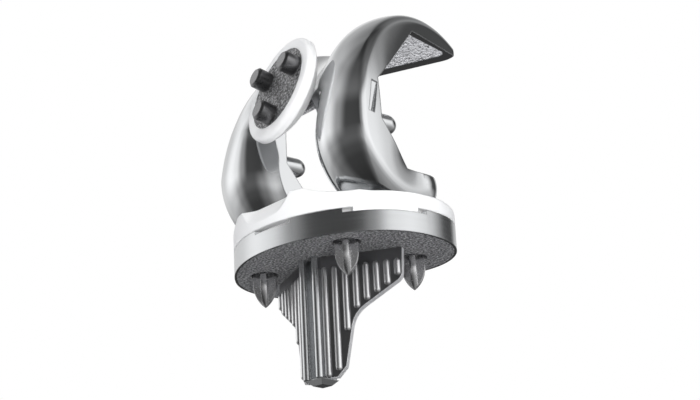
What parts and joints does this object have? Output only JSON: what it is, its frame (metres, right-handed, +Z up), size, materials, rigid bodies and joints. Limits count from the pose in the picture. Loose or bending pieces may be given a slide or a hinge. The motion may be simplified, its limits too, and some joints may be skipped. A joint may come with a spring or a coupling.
{
  "type": "total knee replacement",
  "caption": "Cementless total knee replacement at right-angle flexion: porous keeled tray, white insert, polished femoral shell and pegged patella.",
  "frame": {"origin": "middle of the tibial tray's bone face", "axes": "+Z up the leg from the tray's bone face, -Y to the front of the knee, +X to the outer side; the thigh part is drawn bent back to a right angle"},
  "size_m": [0.076, 0.0672, 0.1164],
  "materials": {
    "polished_cobalt_chrome": "mirror polished",
    "satin_metal": "satin",
    "blasted_metal": "blasted",
    "dark_porous_metal": "fine porous",
    "pale_porous_metal": "coarse porous",
    "white_polyethylene": "satin"
  },
  "bodies": {
    "tibial_base": {"tibial_tray": "satin_metal", "tray_porous_coat": "dark_porous_metal", "tray_peg_front_lateral": "blasted_metal", "tray_peg_front_medial": "blasted_metal", "tray_peg_back_lateral": "blasted_metal", "tray_peg_back_medial": "blasted_metal", "keel_column": "satin_metal", "keel_cap": "satin_metal", "keel_wing_lateral": "satin_metal", "keel_wing_medial": "satin_metal", "tibial_insert": "white_polyethylene", "insert_locking_wire": "satin_metal"},
    "femoral_body": {"femoral_component": "polished_cobalt_chrome", "femoral_lining_front": "pale_porous_metal", "femoral_lining_distal_lateral": "pale_porous_metal", "femoral_lining_distal_medial": "pale_porous_metal", "femoral_lining_back_lateral": "pale_porous_metal", "femoral_lining_back_medial": "pale_porous_metal", "femoral_peg_lateral": "blasted_metal", "femoral_peg_medial": "blasted_metal"},
    "patellar_body": {"patella_dome": "white_polyethylene", "patella_backing": "dark_porous_metal", "patella_peg_lateral": "blasted_metal", "patella_peg_medial": "blasted_metal", "patella_peg_lower": "blasted_metal"}
  },
  "joints": [
    {"name": "knee_flexion", "type": "hinge", "parent": "tibial_base", "child": "femoral_body", "pos_m": [0, 0.0021, 0.034], "axis": [-1, 0, 0], "range_deg": [-90, 40]},
    {"name": "patella_glide", "type": "hinge", "parent": "femoral_body", "child": "patellar_body", "pos_m": [0, 0.0209, 0.034], "axis": [-1, 0, 0], "range_deg": [-32, 72]}
  ],
  "couplings": [
    {"joint": "patella_glide", "follows": "knee_flexion", "ratio": -0.79}
  ]
}
